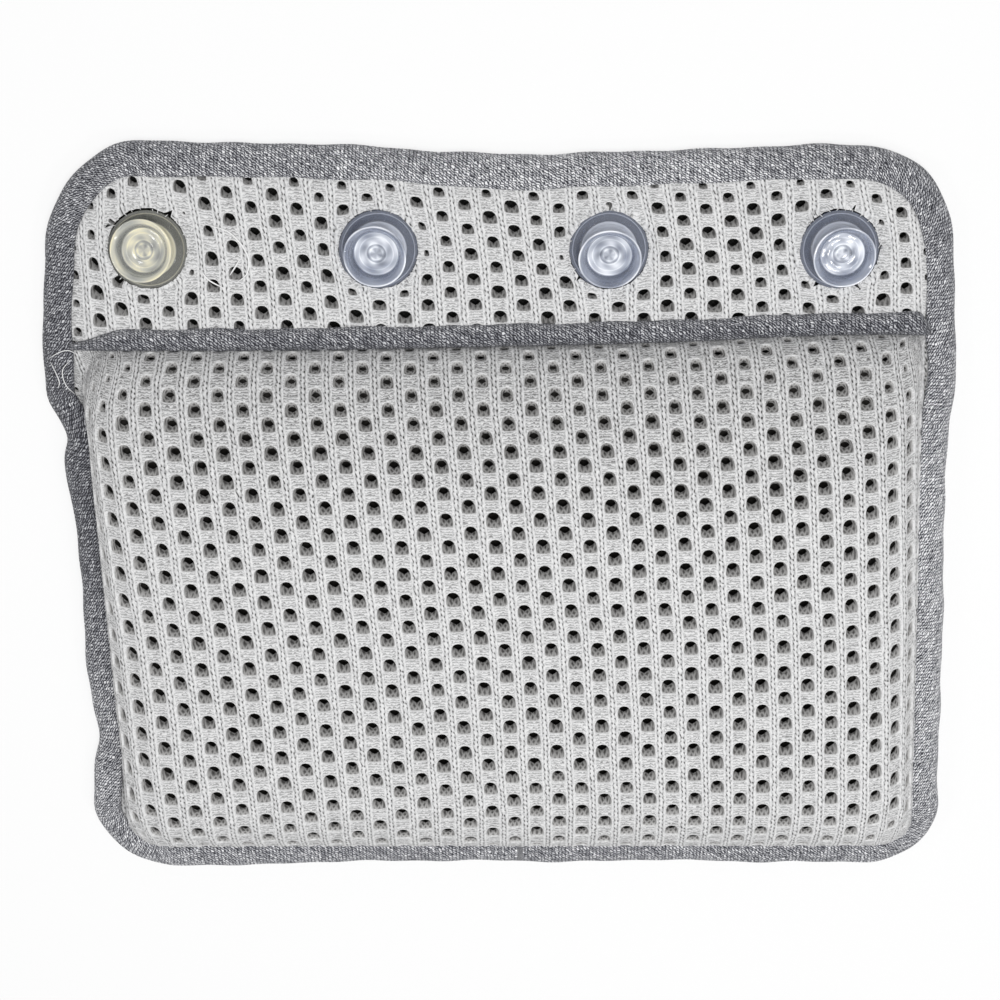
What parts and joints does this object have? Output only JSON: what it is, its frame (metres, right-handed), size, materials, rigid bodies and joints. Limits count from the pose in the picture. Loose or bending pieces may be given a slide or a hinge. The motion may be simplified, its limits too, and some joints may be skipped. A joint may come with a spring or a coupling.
{
  "type": "bath pillow",
  "caption": "Bath pillow with a crowned open-mesh cushion, knit tape binding and a fold-back flap that carries a row of clear suction cups on soft necks.",
  "frame": {"origin": "on the resting plane under the middle of the pillow, which lies on its back with the padded side up", "axes": "+X along the fold, +Y from the cushion to the top edge of the flap, +Z out of the padded front"},
  "size_m": [0.37, 0.312, 0.0379],
  "materials": {
    "spacer_knit": "matte",
    "knit_tape": "matte",
    "back_cloth": "matte",
    "filling": "matte",
    "clear_vinyl": "gloss",
    "aged_vinyl": "gloss"
  },
  "bodies": {
    "cushion": {"cushion_cover": "spacer_knit", "cushion_filling": "filling", "cushion_back": "back_cloth", "cushion_binding": "knit_tape", "seam_binding": "knit_tape"},
    "flap": {"flap_mesh": "spacer_knit", "flap_back": "back_cloth", "flap_binding": "knit_tape", "cup_flange_1": "aged_vinyl", "cup_flange_2": "clear_vinyl", "cup_flange_3": "clear_vinyl", "cup_flange_4": "clear_vinyl", "cup_washer_1": "clear_vinyl", "cup_washer_2": "clear_vinyl", "cup_washer_3": "clear_vinyl", "cup_washer_4": "clear_vinyl"},
    "cup_1": {"suction_cup_1": "aged_vinyl"},
    "cup_2": {"suction_cup_2": "clear_vinyl"},
    "cup_3": {"suction_cup_3": "clear_vinyl"},
    "cup_4": {"suction_cup_4": "clear_vinyl"}
  },
  "joints": [
    {"name": "flap_fold", "type": "hinge", "parent": "cushion", "child": "flap", "pos_m": [0, 0.086, 0], "axis": [1, 0, 0], "range_deg": [-175, 12]},
    {"name": "cup_1_tilt", "type": "hinge", "parent": "flap", "child": "cup_1", "pos_m": [-0.13975, 0.117, 0.0084], "axis": [1, 0, 0], "range_deg": [-12, 12], "stiffness_Nm_per_rad": 0.05},
    {"name": "cup_2_tilt", "type": "hinge", "parent": "flap", "child": "cup_2", "pos_m": [-0.04825, 0.117, 0.0084], "axis": [1, 0, 0], "range_deg": [-12, 12], "stiffness_Nm_per_rad": 0.05},
    {"name": "cup_3_tilt", "type": "hinge", "parent": "flap", "child": "cup_3", "pos_m": [0.04325, 0.117, 0.0084], "axis": [1, 0, 0], "range_deg": [-12, 12], "stiffness_Nm_per_rad": 0.05},
    {"name": "cup_4_tilt", "type": "hinge", "parent": "flap", "child": "cup_4", "pos_m": [0.13475, 0.117, 0.0084], "axis": [1, 0, 0], "range_deg": [-12, 12], "stiffness_Nm_per_rad": 0.05}
  ]
}
